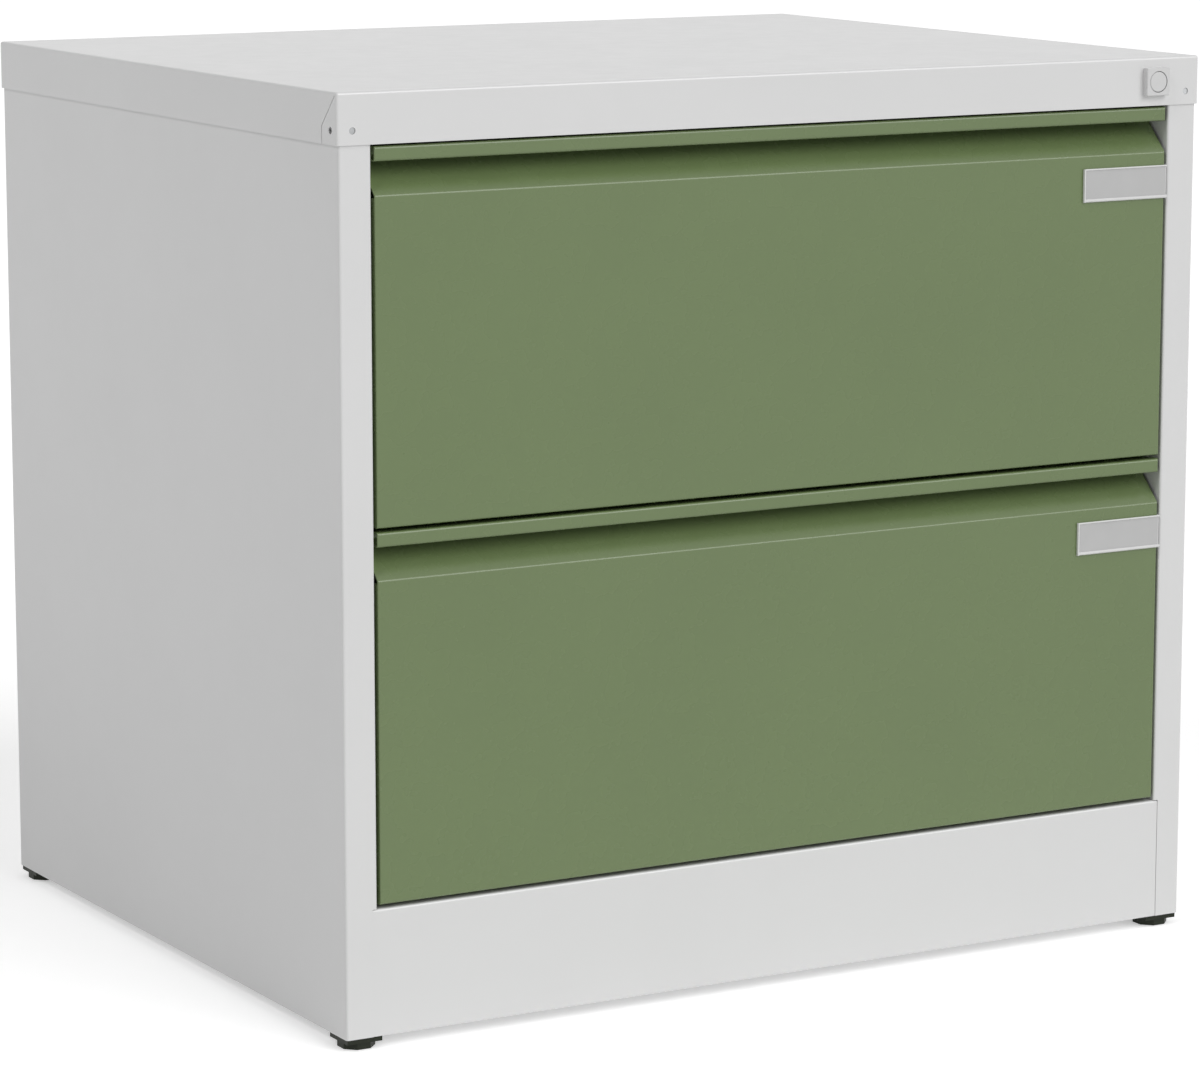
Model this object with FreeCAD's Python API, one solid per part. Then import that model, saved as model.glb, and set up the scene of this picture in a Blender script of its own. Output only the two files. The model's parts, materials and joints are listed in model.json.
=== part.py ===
import FreeCAD, Part

import math
import os

# Two-drawer lateral filing cabinet in folded sheet steel, sizes in millimetres.
# The origin is on the floor under the middle of the cap. X runs to the right, Y to the back, Z up.

V = FreeCAD.Vector

# Overall sizes
cabinet_width = 762.0
cabinet_depth = 622.0
floor_gap = 9.0
plinth_height = 96.7
front_height = 278.3
front_gap = 3.0
top_gap = 1.5
cap_height = 38.2

# Sheet metal
sheet = 1.0
bend_radius = 1.0
seam = 0.5
small_sides = 8

# Cap
cap_side_gap = 0.7
cap_front_gap = 0.2
flap_length = 23.6
flap_knee = 13.0
flap_corner = 2.5
flap_gap = 0.8
cap_hole = 5.2
cap_rivet_inset = 12.5
cap_rivet_height = 10.4
cap_side_hole_inset = 10.3
cap_rivet_sink = 0.8
rivet_play = 0.1
rivet_tail = 1.5

# Body panels
post_width = 26.3
post_return = 25.0
rear_flange = 20.0
back_flange = 15.0
plinth_lap = 3.9
plinth_return = 30.0
plinth_setback = 0.5
plinth_seam = 0.2
base_flange = 25.0
base_corner = 4.0
rail_depth = 30.0
rail_lift = 1.5

# Feet
foot_inset = 17.5
foot_plate = 29.0
foot_plate_thickness = 4.0
foot_sides = 8
foot_radius = 14.2
foot_stud = 8.0
foot_stud_length = 19.0
foot_stud_play = 0.3
socket_boss = 14.0
socket_boss_height = 18.0
socket_play = 0.1

# Drawer fronts
front_side_gap = 2.5
pull_lip = 11.0
pull_opening = 24.7
pull_depth = 27.0
pull_hem = 6.0
front_corner = 1.0
liner_edge = 1.0

# Drawer trays
tray_lift = 8.0
tray_top_gap = 30.3
tray_flange = 5.0
tray_rear_gap = 36.0
back_rim = 8.0
back_rim_flange = 10.0
file_rail_thickness = 2.0
file_rail_drop = 12.0
centre_rail_width = 10.0

# Label holders
holder_width = 78.5
holder_height = 26.2
holder_drop = 10.0
holder_depth = 2.2
holder_sheet = 0.5
holder_bend = 0.3
holder_lip = 1.0
holder_bottom_lip = 2.6
holder_wrap = 1.2
holder_wrap_depth = 8.0
card_thickness = 0.4
card_play = 0.2
card_lip_gap = 0.1

# Slides
slide_height = 45.0
slide_thickness = 12.7
slide_sheet = 1.2
slide_bend = 0.6
slide_clear = 0.4
slide_level = 90.0
slide_setback = 8.0
slide_rear_gap = 30.0
race_lip = 3.5
ball_diameter = 4.0
ball_play = 0.15
web_play = 2.2
outer_flange = 10.2
middle_end_gap = 1.3
inner_flange = 6.7
cage_sheet = 0.6
cage_length = 200.0
cage_reach = 6.1
inner_cage_reach = 4.4
balls_per_row = 3
slide_rivet = 5.0
slide_rivet_head = 7.0
slide_rivet_cap = 0.8

# Uprights
upright_width = 40.0
upright_lip = 12.0
upright_setback = 22.0
upright_rear_setback = 20.0
upright_end_gap = 4.0

# Lock
lock_plate = 22.0
lock_plate_depth = 5.3
lock_plate_edge = 0.6
lock_inset = 42.6
lock_barrel = 16.0
lock_barrel_play = 0.45
lock_barrel_edge = 0.5
lock_sleeve = 19.0
lock_sleeve_play = 0.2
lock_sleeve_length = 14.0
lock_barrel_tail = 3.0
lock_nut_flats = 25.0
lock_nut_thickness = 4.0
cam_radius = 11.0
cam_thickness = 3.0
cam_throw = 7.0
cam_pin = 4.0
cam_pin_overrun = 1.5
bar_setback = 2.6
bar_thickness = 2.0
bar_width = 14.0
bar_side_gap = 6.3
bar_arm_height = 14.0
bar_slot_play = 0.4
finger_height = 10.0
finger_gap = 1.5
finger_lift = 2.0
catch_drop = 45.0
catch_height = 12.0
catch_reach = 8.0
catch_length = 24.0
catch_thickness = 2.0
catch_play = 0.6
guide_height = 14.0
guide_wall = 3.0
guide_play = 0.3
guide_grip = 6.0
guide_drop = 30.0

# Levels and planes that the sizes above lead to
body_bottom = floor_gap
plinth_top = body_bottom + plinth_height
drawer_pitch = front_height + front_gap
lower_base = plinth_top + front_gap
upper_base = lower_base + drawer_pitch
cap_bottom = upper_base + front_height + top_gap
cabinet_height = cap_bottom + cap_height
cap_under = cabinet_height - sheet
side_top = cap_under - bend_radius
cap_front = -cabinet_depth / 2
cap_back = cabinet_depth / 2
cap_half = cabinet_width / 2
body_half = cap_half - sheet - cap_side_gap
side_inner = body_half - sheet
body_front = cap_front + sheet + cap_front_gap
body_back = cap_back - sheet - cap_front_gap
back_inner = body_back - 2 * sheet
post_inner = body_half - post_width
plinth_half = post_inner + plinth_lap
plinth_front = body_front + plinth_setback
bend_outside = bend_radius + sheet

front_half = post_inner - front_side_gap
tray_height = front_height - tray_lift - tray_top_gap
catch_level = tray_lift + tray_height - catch_drop
liner_front = body_front + pull_depth + sheet
liner_back = liner_front + sheet
tray_end = back_inner - tray_rear_gap
slide_back = post_inner - slide_clear
tray_half = slide_back - slide_thickness
slide_front = liner_back + slide_setback
slide_end = back_inner - slide_rear_gap
slide_length = slide_end - slide_front
race = ball_diameter + 2 * ball_play
middle_height = slide_height - 2 * (slide_sheet + race)
inner_height = middle_height - 2 * (slide_sheet + race)
middle_web = slide_sheet + web_play
middle_end = slide_thickness - middle_end_gap
upright_front_y = slide_front + upright_setback
upright_rear_y = slide_end - upright_rear_setback - upright_width

lock_x = cap_half - lock_inset
lock_z = cap_bottom + cap_height / 2
rail_front_back = body_front + sheet
bar_front = liner_back + bar_setback
bar_back = bar_front + bar_thickness
bar_right = side_inner - bar_side_gap
bar_left = bar_right - bar_width
catch_front = bar_back + catch_play
barrel_end = cap_front + lock_sleeve_length + lock_barrel_tail
cam_back = barrel_end + cam_thickness
pin_offset = cam_throw * math.sqrt(0.5)
foot_x = cap_half - foot_inset
foot_y = cap_back - foot_inset
plate_bottom = body_bottom - foot_plate_thickness

DRAWERS = {"upper": upper_base, "lower": lower_base}
X_AXIS = V(1, 0, 0)


def box(low, high):
    """Box between two corners."""
    size = high - low
    return Part.makeBox(size.x, size.y, size.z, low)


def rod(diameter, start, end):
    """Round bar between two points."""
    return Part.makeCylinder(diameter / 2, (end - start).Length, start, end - start)


def small_rod(diameter, start, end):
    """Small or hidden round bar, drawn with eight sides to keep the model light."""
    way = (end - start).normalize()
    side = way.cross(V(way.y, way.z, way.x)).normalize()
    spoke = side * (diameter / 2)
    turn = FreeCAD.Rotation(way, 360 / small_sides)
    corners = []
    for index in range(small_sides):
        corners.append(start + spoke)
        spoke = turn.multVec(spoke)
    return sheet_outline(corners, end - start)


def mirrored(shape):
    """The same piece on the other side of the cabinet."""
    return shape.mirror(V(0, 0, 0), X_AXIS)


def rounded_path(points, radii, smooth):
    """Edges along a chain of points, with an arc, or one flat if not smooth, at each inner corner."""
    edges = []
    start = points[0]
    for before, corner, after, radius in zip(points, points[1:], points[2:], radii):
        back = (before - corner).normalize()
        ahead = (after - corner).normalize()
        half = back.getAngle(ahead) / 2
        bisector = (back + ahead).normalize()
        reach = radius / math.tan(half)
        middle = corner + bisector * (radius / math.sin(half) - radius)
        bend_start = corner + back * reach
        bend_end = corner + ahead * reach
        bend = Part.Arc(bend_start, middle, bend_end) if smooth else Part.LineSegment(bend_start, bend_end)
        edges.append(Part.LineSegment(start, bend_start).toShape())
        edges.append(bend.toShape())
        start = bend_end
    edges.append(Part.LineSegment(start, points[-1]).toShape())
    return edges


def bent_sheet(points, along, thickness=sheet, radius=bend_radius, smooth=True):
    """Folded strip: the points run along one face, the metal lies to their right as seen against along."""
    normal = V(along).normalize()
    ways = [(b - a).normalize() for a, b in zip(points, points[1:])]
    rights = [way.cross(normal) for way in ways]
    far = [points[0] + rights[0] * thickness]
    near_radii = []
    far_radii = []
    for index in range(1, len(points) - 1):
        one, two = rights[index - 1], rights[index]
        far.append(points[index] + (one + two) * (thickness / (1 + one.dot(two))))
        to_right = ways[index - 1].cross(ways[index]).dot(normal) < 0
        near_radii.append(radius + thickness if to_right else radius)
        far_radii.append(radius if to_right else radius + thickness)
    far.append(points[-1] + rights[-1] * thickness)
    edges = rounded_path(points, near_radii, smooth)
    edges.append(Part.LineSegment(points[-1], far[-1]).toShape())
    edges += rounded_path(far[::-1], far_radii[::-1], smooth)
    edges.append(Part.LineSegment(far[0], points[0]).toShape())
    return Part.Face(Part.Wire(edges)).extrude(along)


def sheet_outline(points, along):
    """Flat plate with the given corners, as thick as along."""
    return Part.Face(Part.makePolygon(points + points[:1])).extrude(along)


def ball(centre):
    """Small bearing ball with twenty flat faces, its corners on the ball's surface."""
    golden = (1 + math.sqrt(5)) / 2
    scale = ball_diameter / 2 / math.sqrt(1 + golden * golden)
    corners = []
    for one in (-1, 1):
        for other in (-golden, golden):
            corners += [V(0, one, other), V(one, other, 0), V(other, 0, one)]
    faces = []
    for i, a in enumerate(corners):
        for j, b in enumerate(corners[:i]):
            for c in corners[:j]:
                if max((a - b).Length, (b - c).Length, (a - c).Length) < golden * 1.5:
                    faces.append(Part.Face(Part.makePolygon([centre + p * scale for p in (a, b, c, a)])))
    return Part.makeSolid(Part.makeShell(faces))


# Body of the cabinet

def cap_rivet_places():
    """Middle of the two rivet holes in the cap's front apron."""
    level = cap_bottom + cap_rivet_height
    return [V(side * (cap_half - cap_rivet_inset), cap_front, level) for side in (-1, 1)]


def side_hole(right):
    """Drill for the open fixing hole in the cap's side apron and in the panel behind it."""
    side = 1 if right else -1
    start = V(side * (cap_half + sheet), cap_front + cap_side_hole_inset, cap_bottom + cap_rivet_height)
    return rod(cap_hole, start, V(side * (side_inner - sheet), start.y, start.z))


def side_panel():
    """Right side: skin, rear flange, front post and the post's inner return in one folded sheet."""
    outline = [
        V(body_half - rear_flange, body_back, body_bottom),
        V(body_half, body_back, body_bottom),
        V(body_half, body_front, body_bottom),
        V(post_inner, body_front, body_bottom),
        V(post_inner, body_front + post_return, body_bottom),
    ]
    panel = bent_sheet(outline, V(0, 0, side_top - body_bottom))
    notch = box(
        V(post_inner - sheet, body_front - sheet, body_bottom - sheet),
        V(plinth_half + plinth_seam, body_front + post_return + sheet, plinth_top + plinth_seam),
    )
    place = cap_rivet_places()[1]
    drill = rod(cap_hole, place, V(place.x, body_front + 2 * sheet, place.z))
    return panel.cut([notch, drill, side_hole(True)])


def back_panel():
    """Back sheet inside the side panels' rear flanges, folded forward under the cap."""
    half = side_inner - bend_radius - seam
    outline = [
        V(-half, back_inner, body_bottom),
        V(-half, back_inner, cap_under - sheet),
        V(-half, back_inner - back_flange, cap_under - sheet),
    ]
    return bent_sheet(outline, V(2 * half, 0, 0))


def top_cap():
    """Lid with aprons on four sides; the front apron wraps round both corners as a flap."""
    outer = box(V(-cap_half, cap_front, cap_bottom), V(cap_half, cap_back, cabinet_height))
    outer = outer.makeFillet(bend_outside, [e for e in outer.Edges if e.BoundBox.ZMax > cap_bottom + sheet])
    inner = box(
        V(-cap_half + sheet, cap_front + sheet, cap_bottom - cap_height),
        V(cap_half - sheet, cap_back - sheet, cap_under),
    )
    inner = inner.makeChamfer(bend_radius, [e for e in inner.Edges if e.BoundBox.ZMax > cap_bottom])
    cuts = [inner, side_hole(True), side_hole(False)]
    flap = cap_front + flap_length
    for side in (-1, 1):
        inside = side * (cap_half - 2 * sheet)
        through = V(side * 3 * sheet, 0, 0)
        corners = [
            V(inside, flap, cap_bottom - sheet),
            V(inside, flap, cap_bottom + flap_knee),
            V(inside, cap_front + flap_corner, cabinet_height - flap_corner),
            V(inside, cap_front + flap_corner + flap_gap, cabinet_height - flap_corner),
            V(inside, flap + flap_gap, cap_bottom + flap_knee),
            V(inside, flap + flap_gap, cap_bottom - sheet),
        ]
        cuts.append(sheet_outline(corners, through))
    for place in cap_rivet_places():
        cuts.append(rod(cap_hole, place - V(0, sheet, 0), place + V(0, 2 * sheet, 0)))
    cuts.append(lock_hole())
    return outer.cut(cuts)


def cap_rivets():
    """Flush rivets through the cap's apron and the posts, a little below the apron's face."""
    rivets = []
    for place in cap_rivet_places():
        start = V(place.x, cap_front + cap_rivet_sink, place.z)
        end = V(place.x, body_front + sheet + rivet_tail, place.z)
        rivets.append(rod(cap_hole - 2 * rivet_play, start, end))
    return Part.makeCompound(rivets)


def plinth_panel():
    """Plinth sheet, a little behind the posts' face, folded back under the lower drawer."""
    outline = [
        V(-plinth_half, plinth_front, body_bottom),
        V(-plinth_half, plinth_front, plinth_top),
        V(-plinth_half, plinth_front + plinth_return, plinth_top),
    ]
    return bent_sheet(outline, V(2 * plinth_half, 0, 0))


def upright_edges(block):
    """The upright edges of a box."""
    return [edge for edge in block.Edges if edge.BoundBox.ZLength > sheet]


def base_pan():
    """Shallow tray that closes the bottom and carries the foot sockets."""
    low = V(-side_inner, plinth_front + sheet, body_bottom)
    high = V(side_inner, back_inner, body_bottom + base_flange)
    pan = box(low, high)
    pan = pan.makeChamfer(base_corner, upright_edges(pan))
    hollow = box(low + V(sheet, sheet, sheet), high + V(-sheet, -sheet, sheet))
    hollow = hollow.makeChamfer(base_corner - sheet, upright_edges(hollow))
    holes = []
    for place in foot_places().values():
        top = place + V(0, 0, body_bottom + base_flange)
        holes.append(small_rod(socket_boss + 2 * socket_play, place, top))
    return pan.cut([hollow] + holes)


def top_front_rail():
    """Channel between the posts behind the cap's apron, which stiffens the front and holds the lock."""
    low = cap_bottom + rail_lift
    outline = [
        V(-post_inner, body_front + rail_depth, low),
        V(-post_inner, body_front, low),
        V(-post_inner, body_front, cap_under),
        V(-post_inner, body_front + rail_depth, cap_under),
    ]
    return bent_sheet(outline, V(2 * post_inner, 0, 0)).cut(lock_hole())


def upright(front_y):
    """Right-hand hat channel on the side panel, whose web carries the slides."""
    web = slide_back + sheet
    end_y = front_y + upright_width
    bottom = body_bottom + base_flange + upright_end_gap
    outline = [
        V(side_inner, end_y + upright_lip, bottom),
        V(side_inner, end_y, bottom),
        V(web, end_y, bottom),
        V(web, front_y, bottom),
        V(side_inner, front_y, bottom),
        V(side_inner, front_y - upright_lip, bottom),
    ]
    channel = bent_sheet(outline, V(0, 0, cap_bottom - upright_end_gap - bottom), smooth=False)
    drills = []
    for place in slide_rivet_places(front_y):
        drills.append(small_rod(slide_rivet, place, place + V(3 * sheet, 0, 0)))
    return channel.cut(drills)


# Feet

def foot_places():
    """Point on the floor under each foot."""
    return {
        "front_left": V(-foot_x, -foot_y, 0),
        "front_right": V(foot_x, -foot_y, 0),
        "rear_left": V(-foot_x, foot_y, 0),
        "rear_right": V(foot_x, foot_y, 0),
    }


def foot_sockets():
    """Square corner plates with a threaded boss through the base pan."""
    sockets = []
    for place in foot_places().values():
        half = V(foot_plate / 2, foot_plate / 2, 0)
        plate = box(place - half + V(0, 0, plate_bottom), place + half + V(0, 0, body_bottom))
        boss_top = place + V(0, 0, body_bottom + socket_boss_height)
        boss = small_rod(socket_boss, place + V(0, 0, plate_bottom), boss_top)
        bore = small_rod(foot_stud + 2 * foot_stud_play, place, place + V(0, 0, cabinet_height))
        sockets.append(plate.fuse(boss).cut(bore).removeSplitter())
    return Part.makeCompound(sockets)


def levelling_foot(place):
    """Eight-sided base on a stud that runs up into its socket."""
    corners = []
    for index in range(foot_sides):
        turn = 2 * math.pi * (index + 0.5) / foot_sides
        corners.append(place + V(math.cos(turn), math.sin(turn), 0) * foot_radius)
    base = sheet_outline(corners, V(0, 0, plate_bottom))
    stud = small_rod(foot_stud, place, place + V(0, 0, plate_bottom + foot_stud_length))
    return base.fuse(stud).removeSplitter()


# Slides, worked out on the right-hand side

def slide_rivet_places(front_y):
    """Rivets that hold the outer members to one upright, on the face of its web."""
    middle = front_y + upright_width / 2
    return [V(slide_back, middle, base + slide_level) for base in DRAWERS.values()]


def slide_section(base, rows, thickness, length, centre_y):
    """Folded channel along the slide: each row is a corner's depth from the outer face and its height."""
    level = base + slide_level
    start = centre_y - length / 2
    points = [V(slide_back - depth, start, level + height) for depth, height in rows]
    return bent_sheet(points, V(0, length, 0), thickness, slide_bend, smooth=False)


def slide_middle_y():
    return (slide_front + slide_end) / 2


def outer_member(base):
    """Cabinet member: channel with inturned lips that keep the balls in."""
    half = slide_height / 2
    rows = [
        (outer_flange, -half + race_lip),
        (outer_flange, -half),
        (0, -half),
        (0, half),
        (outer_flange, half),
        (outer_flange, half - race_lip),
    ]
    member = slide_section(base, rows, slide_sheet, slide_length, slide_middle_y())
    drills = []
    for front_y in (upright_front_y, upright_rear_y):
        for place in slide_rivet_places(front_y):
            drills.append(small_rod(slide_rivet, place, place - V(2 * slide_sheet, 0, 0)))
    return member.cut(drills)


def middle_member(base):
    """Middle member: runs on balls inside the outer one and holds the balls of the drawer member."""
    half = middle_height / 2
    rows = [
        (middle_end, -half + race_lip),
        (middle_end, -half),
        (middle_web, -half),
        (middle_web, half),
        (middle_end, half),
        (middle_end, half - race_lip),
    ]
    return slide_section(base, rows, slide_sheet, slide_length, slide_middle_y())


def inner_member(base):
    """Drawer member: channel on the tray's wall, open towards the cabinet."""
    half = inner_height / 2
    rows = [
        (slide_thickness - inner_flange, half),
        (slide_thickness, half),
        (slide_thickness, -half),
        (slide_thickness - inner_flange, -half),
    ]
    member = slide_section(base, rows, slide_sheet, slide_length, slide_middle_y())
    drills = []
    for place in tray_rivet_places(base):
        drills.append(small_rod(slide_rivet, place, place + V(2 * slide_sheet, 0, 0)))
    return member.cut(drills)


def ball_cage(base, web_depth, reach, race_height):
    """Cage with a row of balls above and below, each loose in a window of the strip."""
    half = race_height / 2 + cage_sheet / 2
    rows = [
        (web_depth + reach, -half),
        (web_depth, -half),
        (web_depth, half),
        (web_depth + reach, half),
    ]
    cage = slide_section(base, rows, cage_sheet, cage_length, slide_middle_y())
    pitch = cage_length / balls_per_row
    room = ball_diameter / 2 + ball_play
    balls = []
    windows = []
    for index in range(balls_per_row):
        y = slide_middle_y() + pitch * (index - (balls_per_row - 1) / 2)
        for side in (-1, 1):
            depth = web_depth + reach - ball_diameter / 2
            level = base + slide_level + side * race_height / 2
            middle = V(slide_back - depth, y, level)
            balls.append(ball(middle))
            windows.append(box(middle - V(room, room, room), middle + V(room, room, room)))
    return [cage.cut(windows)] + balls


def outer_cages(base):
    """Left and right cages between the outer and the middle members."""
    cage = ball_cage(base, slide_sheet + web_play / 2 - cage_sheet / 2, cage_reach, middle_height + race)
    return Part.makeCompound([mirrored(piece) for piece in cage] + cage)


def inner_cages(base):
    """Left and right cages between the middle and the drawer members."""
    web_depth = middle_web + slide_sheet + ball_play * 2
    cage = ball_cage(base, web_depth, inner_cage_reach, inner_height + race)
    return Part.makeCompound([mirrored(piece) for piece in cage] + cage)


def flush_rivet(face, way):
    """Rivet flush with the face it starts on, with its head at the far end of way."""
    head = face + way
    tip = head + V(way).normalize() * slide_rivet_cap
    return small_rod(slide_rivet, face, tip).fuse(small_rod(slide_rivet_head, head, tip)).removeSplitter()


def slide_rivets():
    """Rivets between the outer members and the uprights."""
    rivets = []
    for front_y in (upright_front_y, upright_rear_y):
        for place in slide_rivet_places(front_y):
            rivet = flush_rivet(place - V(slide_sheet, 0, 0), V(slide_sheet + sheet, 0, 0))
            rivets += [rivet, mirrored(rivet)]
    return Part.makeCompound(rivets)


# Drawers

def drawer_front(base):
    """Front in one folded sheet: bottom return, face, slope of the pull, its back wall, top and lip."""
    top = base + front_height
    face_top = top - pull_lip - pull_opening
    wall = body_front + pull_depth
    left = -front_half
    outline = [
        V(left, liner_front, base),
        V(left, body_front, base),
        V(left, body_front, face_top),
        V(left, wall, face_top + pull_depth),
        V(left, wall, top - sheet),
        V(left, body_front + sheet, top - sheet),
        V(left, body_front + sheet, top - pull_lip + sheet),
        V(left, body_front + sheet + pull_hem, top - pull_lip + sheet),
    ]
    front = bent_sheet(outline, V(2 * front_half, 0, 0))
    pieces = []
    corners = []
    for side in (-1, 1):
        edge = side * front_half
        inside = side * (front_half - sheet)
        pieces.append(box(
            V(min(edge, inside), body_front + sheet, base + sheet),
            V(max(edge, inside), liner_front, face_top - bend_outside),
        ))
        corner = V(edge, body_front, base)
        across = V(-side * front_corner, 0, 0)
        back = V(0, front_corner, 0)
        middle = corner + (across + back) * (1 - math.sqrt(0.5))
        arc = Part.Arc(corner + across, middle, corner + back).toShape()
        lines = [
            Part.LineSegment(corner + back, corner).toShape(),
            Part.LineSegment(corner, corner + across).toShape(),
        ]
        corners.append(Part.Face(Part.Wire([arc] + lines)).extrude(V(0, 0, front_height)))
    return front.fuse(pieces).cut(corners).removeSplitter()


def drawer_liner(base):
    """Flat inner panel that closes the front from behind."""
    half = front_half - liner_edge
    return box(
        V(-half, liner_front, base + liner_edge),
        V(half, liner_back, base + front_height - liner_edge),
    )


def drawer_tray(base):
    """Bottom and both sides of the drawer in one folded sheet."""
    bottom = base + tray_lift
    top = bottom + tray_height
    outline = [
        V(-tray_half + tray_flange, liner_back, top),
        V(-tray_half, liner_back, top),
        V(-tray_half, liner_back, bottom),
        V(tray_half, liner_back, bottom),
        V(tray_half, liner_back, top),
        V(tray_half - tray_flange, liner_back, top),
    ]
    tray = bent_sheet(outline, V(0, tray_end - liner_back, 0), smooth=False)
    drills = []
    for place in tray_rivet_places(base):
        drill = small_rod(slide_rivet, place, place - V(2 * sheet, 0, 0))
        drills += [drill, mirrored(drill)]
    return tray.cut(drills)


def tray_rivet_places(base):
    """Rivets of the drawer members, on the outside of the tray's right wall."""
    level = base + slide_level
    return [V(tray_half, y, level) for y in (upright_front_y, upright_rear_y)]


def drawer_back(base):
    """Back of the tray, with a rim folded to the rear."""
    bottom = base + tray_lift
    top = bottom + tray_height + back_rim
    outline = [
        V(-tray_half, tray_end, bottom),
        V(-tray_half, tray_end, top),
        V(-tray_half, tray_end + back_rim_flange, top),
    ]
    return bent_sheet(outline, V(2 * tray_half, 0, 0))


def file_rails(base):
    """Rails for the hooks of suspension files: a strip at each side and a channel in the middle."""
    tray_top = base + tray_lift + tray_height
    low = tray_top - file_rail_drop
    high = tray_top + back_rim
    edge = tray_half - tray_flange
    side_rail = box(V(edge - file_rail_thickness, liner_back, low), V(edge, tray_end, high))
    half = centre_rail_width / 2
    outline = [
        V(half, liner_back, low),
        V(half, liner_back, high),
        V(-half, liner_back, high),
        V(-half, liner_back, low),
    ]
    centre_rail = bent_sheet(outline, V(0, tray_end - liner_back, 0), smooth=False)
    return Part.makeCompound([mirrored(side_rail), centre_rail, side_rail])


def holder_levels(base):
    """Bottom and top of a drawer's label holder."""
    top = base + front_height - pull_lip - pull_opening - holder_drop
    return top - holder_height, top


def label_holder(base):
    """Card holder folded from thin sheet: lips round three sides, right end hooked round the front's edge."""
    low, high = holder_levels(base)
    left = front_half - holder_width
    lip = body_front - holder_depth
    outline = [
        V(left, lip, high - holder_lip),
        V(left, lip, high),
        V(left, body_front, high),
        V(left, body_front, low),
        V(left, lip, low),
        V(left, lip, low + holder_bottom_lip),
    ]
    length = holder_width + holder_wrap
    holder = bent_sheet(outline, V(length, 0, 0), holder_sheet, holder_bend, smooth=False)
    end = box(V(left, lip, low), V(left + holder_sheet, body_front, high))
    end_lip = box(V(left, lip, low), V(left + holder_lip, lip + holder_sheet, high))
    hook = box(V(front_half, body_front, low), V(left + length, body_front + holder_wrap_depth, high))
    return holder.fuse([end, end_lip, hook]).removeSplitter()


def label_card(base):
    """Blank card close behind the holder's lips."""
    low, high = holder_levels(base)
    face = body_front - holder_depth + holder_sheet + card_lip_gap
    inset = holder_sheet + card_play
    return box(
        V(front_half - holder_width + inset, face, low + inset),
        V(front_half - card_play, face + card_thickness, high - inset),
    )


def lock_catch(base):
    """Angle on the tray's right wall that the lock bar's finger stands in front of."""
    level = base + catch_level
    outline = [
        V(tray_half + catch_reach, catch_front, level),
        V(tray_half, catch_front, level),
        V(tray_half, catch_front + catch_length, level),
    ]
    return bent_sheet(outline, V(0, 0, catch_height), catch_thickness, smooth=False)


def tray_rivets(base):
    """Rivets between the drawer members and the tray."""
    rivets = []
    for place in tray_rivet_places(base):
        rivet = flush_rivet(place + V(slide_sheet, 0, 0), V(-slide_sheet - sheet, 0, 0))
        rivets += [rivet, mirrored(rivet)]
    return Part.makeCompound(rivets)


# Lock

def lock_axis_point(y):
    return V(lock_x, y, lock_z)


def lock_hole():
    """Drill for the lock's sleeve through the cap's apron and the rail behind it."""
    return rod(lock_sleeve + 2 * lock_sleeve_play, lock_axis_point(cap_front - sheet),
               lock_axis_point(rail_front_back + sheet))


def lock_housing():
    """Square escutcheon with a sleeve through the apron, bored for the barrel."""
    half = lock_plate / 2
    face = cap_front - lock_plate_depth
    plate = box(lock_axis_point(face) - V(half, 0, half), lock_axis_point(cap_front) + V(half, 0, half))
    edges = [edge for edge in plate.Edges if edge.BoundBox.YMin < cap_front - sheet]
    plate = plate.makeChamfer(lock_plate_edge, edges)
    sleeve_end = lock_axis_point(cap_front + lock_sleeve_length)
    sleeve = rod(lock_sleeve, lock_axis_point(cap_front - sheet), sleeve_end)
    bore = rod(lock_barrel + 2 * lock_barrel_play, lock_axis_point(face - sheet),
               lock_axis_point(cap_front + 2 * lock_sleeve_length))
    return plate.fuse(sleeve).cut(bore).removeSplitter()


def lock_nut():
    """Six-sided nut that clamps the sleeve against the rail."""
    radius = lock_nut_flats / 2 / math.cos(math.pi / 6)
    corners = []
    for index in range(6):
        turn = math.pi * index / 3
        corners.append(lock_axis_point(rail_front_back) + V(math.cos(turn), 0, math.sin(turn)) * radius)
    nut = sheet_outline(corners, V(0, lock_nut_thickness, 0))
    return nut.cut(rod(lock_sleeve + 2 * lock_sleeve_play, lock_axis_point(cap_front), lock_axis_point(0)))


def lock_barrel_plug():
    """Turning barrel, flush with the escutcheon, its front edge broken."""
    face = cap_front - lock_plate_depth
    barrel = rod(lock_barrel, lock_axis_point(face), lock_axis_point(barrel_end))
    edges = [edge for edge in barrel.Edges if edge.BoundBox.YMax < cap_front]
    return barrel.makeChamfer(lock_barrel_edge, edges)


def lock_cam():
    """Disc on the barrel's tail with a pin that works the lock bar."""
    disc = rod(2 * cam_radius, lock_axis_point(barrel_end), lock_axis_point(cam_back))
    offset = V(pin_offset, 0, pin_offset)
    pin_end = lock_axis_point(bar_back + cam_pin_overrun) + offset
    pin = rod(cam_pin, lock_axis_point(barrel_end) + offset, pin_end)
    return disc.fuse(pin).removeSplitter()


def finger_bottom(base):
    return base + catch_level + catch_height + finger_lift


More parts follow.
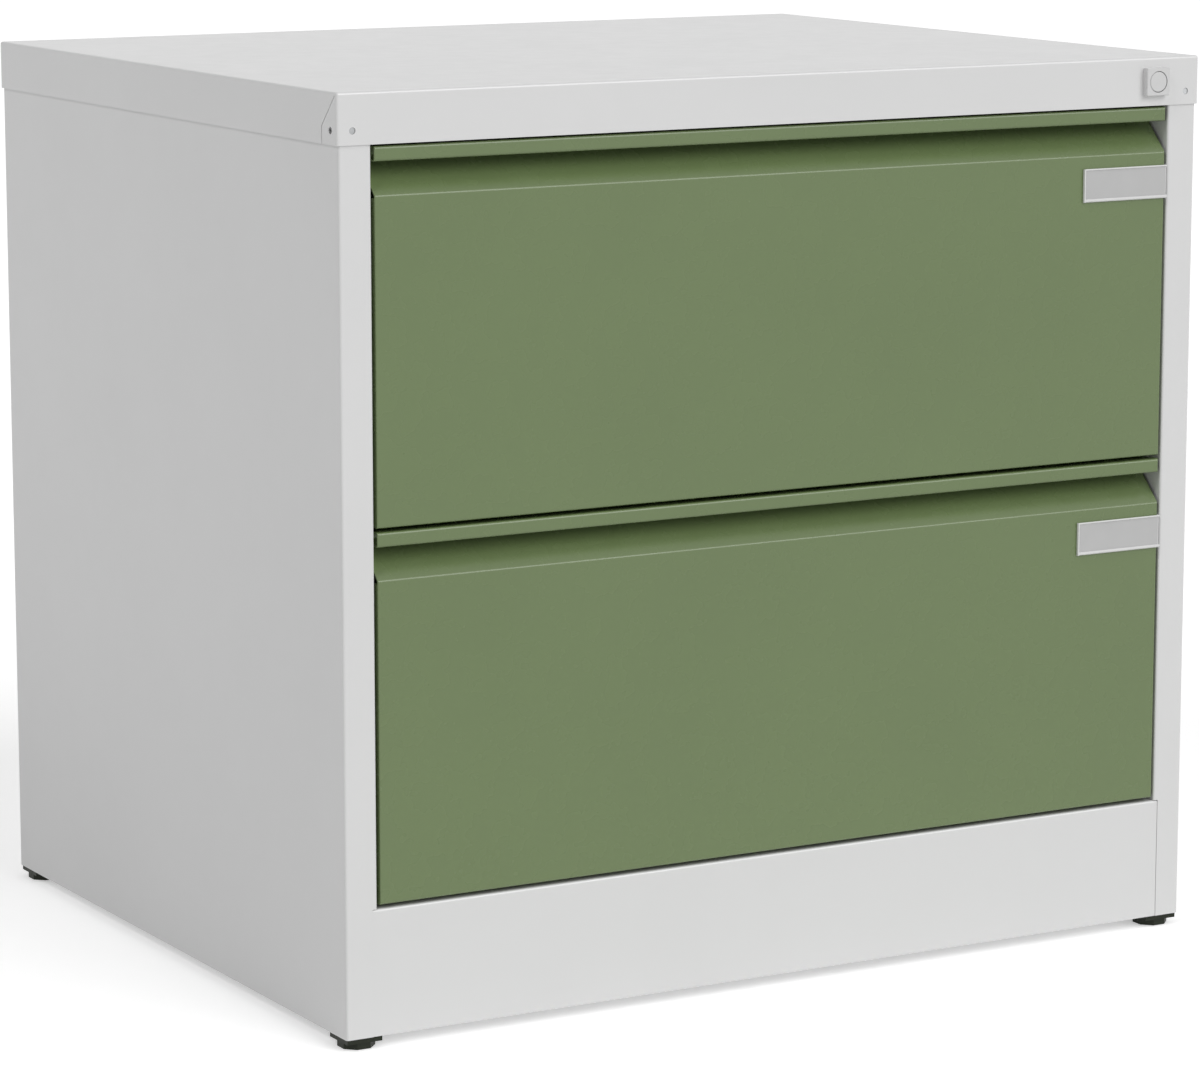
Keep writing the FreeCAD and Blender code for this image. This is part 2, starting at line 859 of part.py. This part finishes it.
def lock_bar():
    """Flat bar behind the right post: an arm with a slot for the cam's pin and a finger over each catch."""
    slot_z = lock_z + pin_offset
    arm_low = slot_z - bar_arm_height / 2
    arm_high = slot_z + bar_arm_height / 2
    tip = tray_half + finger_gap
    arm_left = lock_x - cam_pin
    foot = finger_bottom(lower_base)
    corners = [V(bar_right, bar_front, foot), V(bar_right, bar_front, arm_high)]
    corners += [V(arm_left, bar_front, arm_high), V(arm_left, bar_front, arm_low)]
    corners.append(V(bar_left, bar_front, arm_low))
    for base in DRAWERS.values():
        low = finger_bottom(base)
        corners.append(V(bar_left, bar_front, low + finger_height))
        corners.append(V(tip, bar_front, low + finger_height))
        corners.append(V(tip, bar_front, low))
        if base != lower_base:
            corners.append(V(bar_left, bar_front, low))
    bar = sheet_outline(corners, V(0, bar_thickness, 0))
    half = cam_pin / 2 + bar_slot_play
    slot = box(
        V(lock_x + pin_offset - half, bar_front - sheet, slot_z - half),
        V(lock_x + cam_throw + half, bar_back + sheet, slot_z + half),
    )
    return bar.cut(slot)


def lock_bar_guides():
    """Nylon blocks on the side panel, each with a slot for the bar's edge."""
    low = bar_front - guide_play - guide_wall
    high = bar_back + guide_play + guide_wall
    guides = []
    middle = (upper_base + finger_bottom(lower_base)) / 2
    for level in (cap_bottom - guide_drop, finger_bottom(upper_base) - guide_drop, middle):
        block = box(V(bar_right - guide_grip, low, level), V(side_inner, high, level + guide_height))
        slot = box(
            V(bar_right - 2 * guide_grip, bar_front - guide_play, level - guide_height),
            V(bar_right + guide_play, bar_back + guide_play, level + 2 * guide_height),
        )
        guides.append(block.cut(slot))
    return Part.makeCompound(guides)


# Write every piece

def all_pieces():
    """Every node's name and shape."""
    pieces = {}

    def both_sides(name, shape):
        pieces[name + "_left"] = mirrored(shape)
        pieces[name + "_right"] = shape

    both_sides("side_panel", side_panel())
    pieces["back_panel"] = back_panel()
    pieces["top_cap"] = top_cap()
    pieces["cap_rivets"] = cap_rivets()
    pieces["plinth_panel"] = plinth_panel()
    pieces["base_pan"] = base_pan()
    pieces["top_front_rail"] = top_front_rail()
    both_sides("front_upright", upright(upright_front_y))
    both_sides("rear_upright", upright(upright_rear_y))
    pieces["slide_rivets"] = slide_rivets()
    pieces["foot_sockets"] = foot_sockets()
    for corner, place in foot_places().items():
        pieces["levelling_foot_" + corner] = levelling_foot(place)
    pieces["lock_housing"] = lock_housing()
    pieces["lock_nut"] = lock_nut()
    pieces["lock_barrel"] = lock_barrel_plug()
    pieces["lock_cam"] = lock_cam()
    pieces["lock_bar"] = lock_bar()
    pieces["lock_bar_guides"] = lock_bar_guides()
    for name, base in DRAWERS.items():
        both_sides(name + "_slide_outer", outer_member(base))
        both_sides(name + "_slide_middle", middle_member(base))
        both_sides(name + "_slide_inner", inner_member(base))
        pieces[name + "_outer_ball_cages"] = outer_cages(base)
        pieces[name + "_inner_ball_cages"] = inner_cages(base)
        pieces[name + "_drawer_front"] = drawer_front(base)
        pieces[name + "_drawer_liner"] = drawer_liner(base)
        pieces[name + "_drawer_tray"] = drawer_tray(base)
        pieces[name + "_drawer_back"] = drawer_back(base)
        pieces[name + "_drawer_rivets"] = tray_rivets(base)
        pieces[name + "_file_rails"] = file_rails(base)
        pieces[name + "_label_holder"] = label_holder(base)
        pieces[name + "_label_card"] = label_card(base)
        pieces[name + "_lock_catch"] = lock_catch(base)
    return pieces


os.makedirs("parts", exist_ok=True)
for node, shape in all_pieces().items():
    if not shape.isValid():
        print("not valid:", node)
    shape.exportStep("parts/" + node + ".step")
    print(node, len(shape.Solids), "solids", round(shape.Volume), "mm3")
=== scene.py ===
import json
import math

import bmesh
import bpy
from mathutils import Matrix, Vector


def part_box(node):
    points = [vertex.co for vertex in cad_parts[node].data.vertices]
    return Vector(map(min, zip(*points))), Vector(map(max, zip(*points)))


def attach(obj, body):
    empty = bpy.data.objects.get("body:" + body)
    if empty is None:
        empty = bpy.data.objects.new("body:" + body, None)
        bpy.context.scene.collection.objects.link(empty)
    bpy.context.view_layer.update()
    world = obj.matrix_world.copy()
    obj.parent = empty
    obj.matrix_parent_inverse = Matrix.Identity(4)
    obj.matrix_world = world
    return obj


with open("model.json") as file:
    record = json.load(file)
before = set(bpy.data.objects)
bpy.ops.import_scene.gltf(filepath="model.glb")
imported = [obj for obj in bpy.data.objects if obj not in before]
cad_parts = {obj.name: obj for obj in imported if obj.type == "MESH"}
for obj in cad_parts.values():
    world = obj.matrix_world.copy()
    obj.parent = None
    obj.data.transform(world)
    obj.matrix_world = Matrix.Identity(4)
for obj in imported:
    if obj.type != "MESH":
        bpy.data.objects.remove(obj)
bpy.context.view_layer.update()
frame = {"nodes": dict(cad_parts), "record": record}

scene = bpy.context.scene


# Colours of the finishes

GREY = (0.668, 0.668, 0.668)
GREEN = (0.133, 0.186, 0.074)
TRAY_GREY = (0.6, 0.6, 0.6)
ZINC = (0.43, 0.44, 0.445)
LOCK_GREY = (0.61, 0.61, 0.61)
FOOT_BLACK = (0.014, 0.018, 0.010)
NYLON_WHITE = (0.72, 0.71, 0.67)
LABEL_GREY = (0.7, 0.7, 0.7)
CARD_GREY = (0.49, 0.49, 0.49)

# Texture scales in cycles per metre, relief depths in metres

PAINT_CLOUDS = 7
PAINT_SHEEN = 60
ORANGE_PEEL = 350
ORANGE_PEEL_DEPTH = 0.00002
ORANGE_PEEL_STRENGTH = 0.03
STRIP_GRAIN = 30
STRIP_GRAIN_DEPTH = 0.00003
ALONG_THE_STRIP = (1, 0.06, 1)
MOULD_CLOUDS = 45
MOULD_GRAIN = 700
MOULD_GRAIN_DEPTH = 0.0001
SMOOTH_GRAIN_DEPTH = 0.00002
CARD_FIBRE = 1500
CARD_FIBRE_DEPTH = 0.00003
GRAIN_STRENGTH = 0.3

# Nearly all noise values lie between these two
NOISE_LOW = 0.3
NOISE_HIGH = 0.7


# Materials

def new_material(name):
    """Empty node material with its shader and output."""
    material = bpy.data.materials.new(name)
    material.use_nodes = True
    nodes = material.node_tree.nodes
    nodes.clear()
    shader = nodes.new("ShaderNodeBsdfPrincipled")
    output = nodes.new("ShaderNodeOutputMaterial")
    material.node_tree.links.new(shader.outputs["BSDF"], output.inputs["Surface"])
    return material, shader


def place(material, stretch=(1, 1, 1)):
    """Coordinates fixed to the object, in metres, stretched along the axes."""
    nodes = material.node_tree.nodes
    coordinates = nodes.new("ShaderNodeTexCoord")
    mapping = nodes.new("ShaderNodeMapping")
    mapping.inputs["Scale"].default_value = stretch
    material.node_tree.links.new(coordinates.outputs["Object"], mapping.inputs["Vector"])
    return mapping.outputs["Vector"]


def noise(material, where, scale, detail=2):
    """Noise value at the given scale in cycles per metre."""
    node = material.node_tree.nodes.new("ShaderNodeTexNoise")
    node.inputs["Scale"].default_value = scale
    node.inputs["Detail"].default_value = detail
    material.node_tree.links.new(where, node.inputs["Vector"])
    return node.outputs["Fac"]


def mottled(material, shader, value, colour, mottle):
    """Base colour that a noise value makes darker and lighter by the share mottle."""
    ramp = material.node_tree.nodes.new("ShaderNodeValToRGB")
    dark, light = ramp.color_ramp.elements
    dark.position = NOISE_LOW
    light.position = NOISE_HIGH
    dark.color = (*(channel * (1 - mottle) for channel in colour), 1)
    light.color = (*(channel * (1 + mottle) for channel in colour), 1)
    links = material.node_tree.links
    links.new(value, ramp.inputs["Fac"])
    links.new(ramp.outputs["Color"], shader.inputs["Base Color"])


def uneven_sheen(material, shader, value, smoothest, roughest):
    """Roughness that a noise value moves between two limits."""
    node = material.node_tree.nodes.new("ShaderNodeMapRange")
    node.inputs["From Min"].default_value = NOISE_LOW
    node.inputs["From Max"].default_value = NOISE_HIGH
    node.inputs["To Min"].default_value = smoothest
    node.inputs["To Max"].default_value = roughest
    links = material.node_tree.links
    links.new(value, node.inputs["Value"])
    links.new(node.outputs["Result"], shader.inputs["Roughness"])


def bumps(material, shader, height, depth, strength):
    """Fine relief from a noise value."""
    node = material.node_tree.nodes.new("ShaderNodeBump")
    node.inputs["Distance"].default_value = depth
    node.inputs["Strength"].default_value = strength
    links = material.node_tree.links
    links.new(height, node.inputs["Height"])
    links.new(node.outputs["Normal"], shader.inputs["Normal"])


def powder_coat(name, colour, mottle=0.012, rough=(0.28, 0.34), specular=0.7):
    """Baked paint: faint cloudy mottling, fine orange peel and a satin sheen."""
    material, shader = new_material(name)
    where = place(material)
    mottled(material, shader, noise(material, where, PAINT_CLOUDS, 3), colour, mottle)
    uneven_sheen(material, shader, noise(material, where, PAINT_SHEEN), *rough)
    peel = noise(material, where, ORANGE_PEEL, 1)
    bumps(material, shader, peel, ORANGE_PEEL_DEPTH, ORANGE_PEEL_STRENGTH)
    shader.inputs["Specular IOR Level"].default_value = specular
    return material


def plated(name, colour, mottle, rough):
    """Plated steel with the drawn-out grain of rolled strip."""
    material, shader = new_material(name)
    grain = noise(material, place(material, ALONG_THE_STRIP), STRIP_GRAIN, 4)
    mottled(material, shader, grain, colour, mottle)
    uneven_sheen(material, shader, grain, *rough)
    bumps(material, shader, grain, STRIP_GRAIN_DEPTH, GRAIN_STRENGTH)
    shader.inputs["Metallic"].default_value = 1.0
    return material


def moulded(name, colour, rough, mottle=0.02, grain=MOULD_GRAIN, depth=MOULD_GRAIN_DEPTH, specular=0.4):
    """Plastic or card with a fine moulded or fibrous grain."""
    material, shader = new_material(name)
    where = place(material)
    mottled(material, shader, noise(material, where, MOULD_CLOUDS, 3), colour, mottle)
    uneven_sheen(material, shader, noise(material, where, grain), *rough)
    bumps(material, shader, noise(material, where, grain, 1), depth, GRAIN_STRENGTH)
    shader.inputs["Specular IOR Level"].default_value = specular
    return material


finishes = {
    "body_paint": powder_coat("body_paint", GREY, specular=0.95),
    "front_paint": powder_coat("front_paint", GREEN, mottle=0.02, rough=(0.24, 0.30), specular=0.6),
    "tray_paint": powder_coat("tray_paint", TRAY_GREY),
    "zinc": plated("zinc", ZINC, mottle=0.12, rough=(0.24, 0.42)),
    "lock_metal": powder_coat("lock_metal", LOCK_GREY, rough=(0.3, 0.38)),
    "foot_plastic": moulded("foot_plastic", FOOT_BLACK, (0.4, 0.55), mottle=0.08, specular=0.22),
    "nylon": moulded("nylon", NYLON_WHITE, (0.4, 0.5)),
    "label_plastic": moulded("label_plastic", LABEL_GREY, (0.3, 0.38), depth=SMOOTH_GRAIN_DEPTH),
    "card": moulded("card", CARD_GREY, (0.6, 0.75), grain=CARD_FIBRE, depth=CARD_FIBRE_DEPTH),
}
for part in frame["record"]["subparts"]:
    mesh = frame["nodes"][part["node"]].data
    mesh.materials.clear()
    mesh.materials.append(finishes[part["material_slot"]])


# Moulded edges of the feet and their sockets

MOULDED_EDGE = 0.0005
MOULDED_EDGE_STEPS = 2

for name, node in frame["nodes"].items():
    if name.startswith("levelling_foot") or name == "foot_sockets":
        edge = node.modifiers.new("moulded_edge", "BEVEL")
        edge.width = MOULDED_EDGE
        edge.segments = MOULDED_EDGE_STEPS
        edge.limit_method = "ANGLE"


# Blind rivets along the back

RIVET_RADIUS = 0.0032
RIVET_HEIGHT = 0.0009
# Shares of the radius and of the height, from the rim over the dome to the mandrel's stub
RIVET_PROFILE = ((1.0, 0.0), (0.95, 0.45), (0.72, 0.85), (0.42, 1.0), (0.36, 0.7), (0.1, 0.74))
RIVET_SIDES = 16
RIVETS_PER_SIDE = 6
RIVET_EDGE = 0.010
RIVET_END = 0.045


def rivet_head(shape, centre):
    """Domed rivet head that faces the back, with its mandrel's stub in the middle."""
    rings = []
    for radius, height in RIVET_PROFILE:
        ring = []
        for index in range(RIVET_SIDES):
            turn = 2 * math.pi * index / RIVET_SIDES
            spoke = Vector((math.cos(turn), 0, math.sin(turn))) * (RIVET_RADIUS * radius)
            ring.append(shape.verts.new(centre + spoke + Vector((0, RIVET_HEIGHT * height, 0))))
        rings.append(ring)
    for lower, upper in zip(rings, rings[1:]):
        for index in range(RIVET_SIDES):
            after = (index + 1) % RIVET_SIDES
            shape.faces.new((lower[index], lower[after], upper[after], upper[index]))
    shape.faces.new(rings[0])
    shape.faces.new(rings[-1])


def back_rivets():
    """Rivets through the side panels' rear flanges, which hold the back panel."""
    shape = bmesh.new()
    low, high = (Vector(corner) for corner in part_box("side_panel_right"))
    bottom = low.z + RIVET_END
    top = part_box("top_cap")[0][2] - RIVET_END
    for index in range(RIVETS_PER_SIDE):
        level = bottom + (top - bottom) * index / (RIVETS_PER_SIDE - 1)
        for side in (-1, 1):
            rivet_head(shape, Vector((side * (high.x - RIVET_EDGE), high.y, level)))
    bmesh.ops.recalc_face_normals(shape, faces=shape.faces)
    for face in shape.faces:
        face.smooth = True
    mesh = bpy.data.meshes.new("back_rivets")
    shape.to_mesh(mesh)
    shape.free()
    mesh.materials.append(finishes["zinc"])
    piece = bpy.data.objects.new("back_rivets", mesh)
    scene.collection.objects.link(piece)
    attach(piece, "carcass")


back_rivets()


# World, lamps and floor

WORLD_LEVEL = 0.33
# Each lamp has its strength, the width of its disc in degrees and the direction towards it
LAMPS = {
    "key": (1.60, 46, (0.34, -0.75, 0.53)),
    "fill": (0.56, 14, (-0.62, -0.25, 0.72)),
}
FLOOR_SHADE = 0.93
FLOOR_LIFT = 0.42
FLOOR_REACH = 80.0
FLOOR_GAP = 0.0005


def show_by_ray(tree, for_light, for_eye, output):
    """Surface that lights with one shader and shows another to camera, glossy and transmission rays."""
    nodes = tree.nodes
    links = tree.links
    path = nodes.new("ShaderNodeLightPath")
    looks = path.outputs["Is Camera Ray"]
    for kind in ("Is Glossy Ray", "Is Transmission Ray"):
        either = nodes.new("ShaderNodeMath")
        either.operation = "MAXIMUM"
        links.new(looks, either.inputs[0])
        links.new(path.outputs[kind], either.inputs[1])
        looks = either.outputs["Value"]
    chooser = nodes.new("ShaderNodeMixShader")
    links.new(looks, chooser.inputs["Fac"])
    links.new(for_light, chooser.inputs[1])
    links.new(for_eye, chooser.inputs[2])
    links.new(chooser.outputs["Shader"], output.inputs["Surface"])


def studio_world():
    """Even soft light, with a white background."""
    world = bpy.data.worlds.new("studio")
    scene.world = world
    world.use_nodes = True
    nodes = world.node_tree.nodes
    nodes.clear()
    backgrounds = []
    for strength in (WORLD_LEVEL, 1.0):
        background = nodes.new("ShaderNodeBackground")
        background.inputs["Color"].default_value = (1, 1, 1, 1)
        background.inputs["Strength"].default_value = strength
        backgrounds.append(background.outputs["Background"])
    show_by_ray(world.node_tree, *backgrounds, nodes.new("ShaderNodeOutputWorld"))


def studio_lamps():
    """Wide key light from the right of the front, and a fill light from the upper left."""
    for name, (strength, width, towards) in LAMPS.items():
        lamp = bpy.data.lights.new(name, "SUN")
        lamp.energy = strength
        lamp.angle = math.radians(width)
        holder = bpy.data.objects.new(name, lamp)
        holder.rotation_euler = Vector(towards).to_track_quat("Z", "Y").to_euler()
        scene.collection.objects.link(holder)


def floor_material():
    """Matt pale floor, lifted to white for the eye, which keeps the shadow."""
    material = bpy.data.materials.new("floor")
    material.use_nodes = True
    nodes = material.node_tree.nodes
    links = material.node_tree.links
    nodes.clear()
    matt = nodes.new("ShaderNodeBsdfDiffuse")
    matt.inputs["Color"].default_value = (FLOOR_SHADE, FLOOR_SHADE, FLOOR_SHADE, 1)
    glow = nodes.new("ShaderNodeEmission")
    glow.inputs["Strength"].default_value = FLOOR_LIFT
    lifted = nodes.new("ShaderNodeAddShader")
    links.new(matt.outputs["BSDF"], lifted.inputs[0])
    links.new(glow.outputs["Emission"], lifted.inputs[1])
    output = nodes.new("ShaderNodeOutputMaterial")
    show_by_ray(material.node_tree, matt.outputs["BSDF"], lifted.outputs["Shader"], output)
    return material


def studio_floor():
    """Wide floor just under the feet."""
    corners = [(x * FLOOR_REACH, y * FLOOR_REACH, 0) for x, y in ((-1, -1), (1, -1), (1, 1), (-1, 1))]
    mesh = bpy.data.meshes.new("floor")
    mesh.from_pydata(corners, [], [(0, 1, 2, 3)])
    mesh.materials.append(floor_material())
    floor = bpy.data.objects.new("floor", mesh)
    floor.location.z = -FLOOR_GAP
    scene.collection.objects.link(floor)


studio_world()
studio_lamps()
studio_floor()
scene.view_settings.view_transform = "Standard"


# Camera at the photograph's viewpoint, with its angles in degrees

SENSOR_WIDTH = 36.0
LENS = 138.6
CLIP_END = 300.0
CAMERA_PLACE = (-1.8495, -3.2619, 0.9657)
CAMERA_DOWN = 9.953
CAMERA_TURN = -29.72

camera_data = bpy.data.cameras.new("camera")
camera_data.sensor_fit = "HORIZONTAL"
camera_data.sensor_width = SENSOR_WIDTH
camera_data.lens = LENS
camera_data.clip_end = CLIP_END
camera = bpy.data.objects.new("camera", camera_data)
camera.location = CAMERA_PLACE
camera.rotation_euler = (math.radians(90 - CAMERA_DOWN), 0, math.radians(CAMERA_TURN))
scene.collection.objects.link(camera)
scene.camera = camera
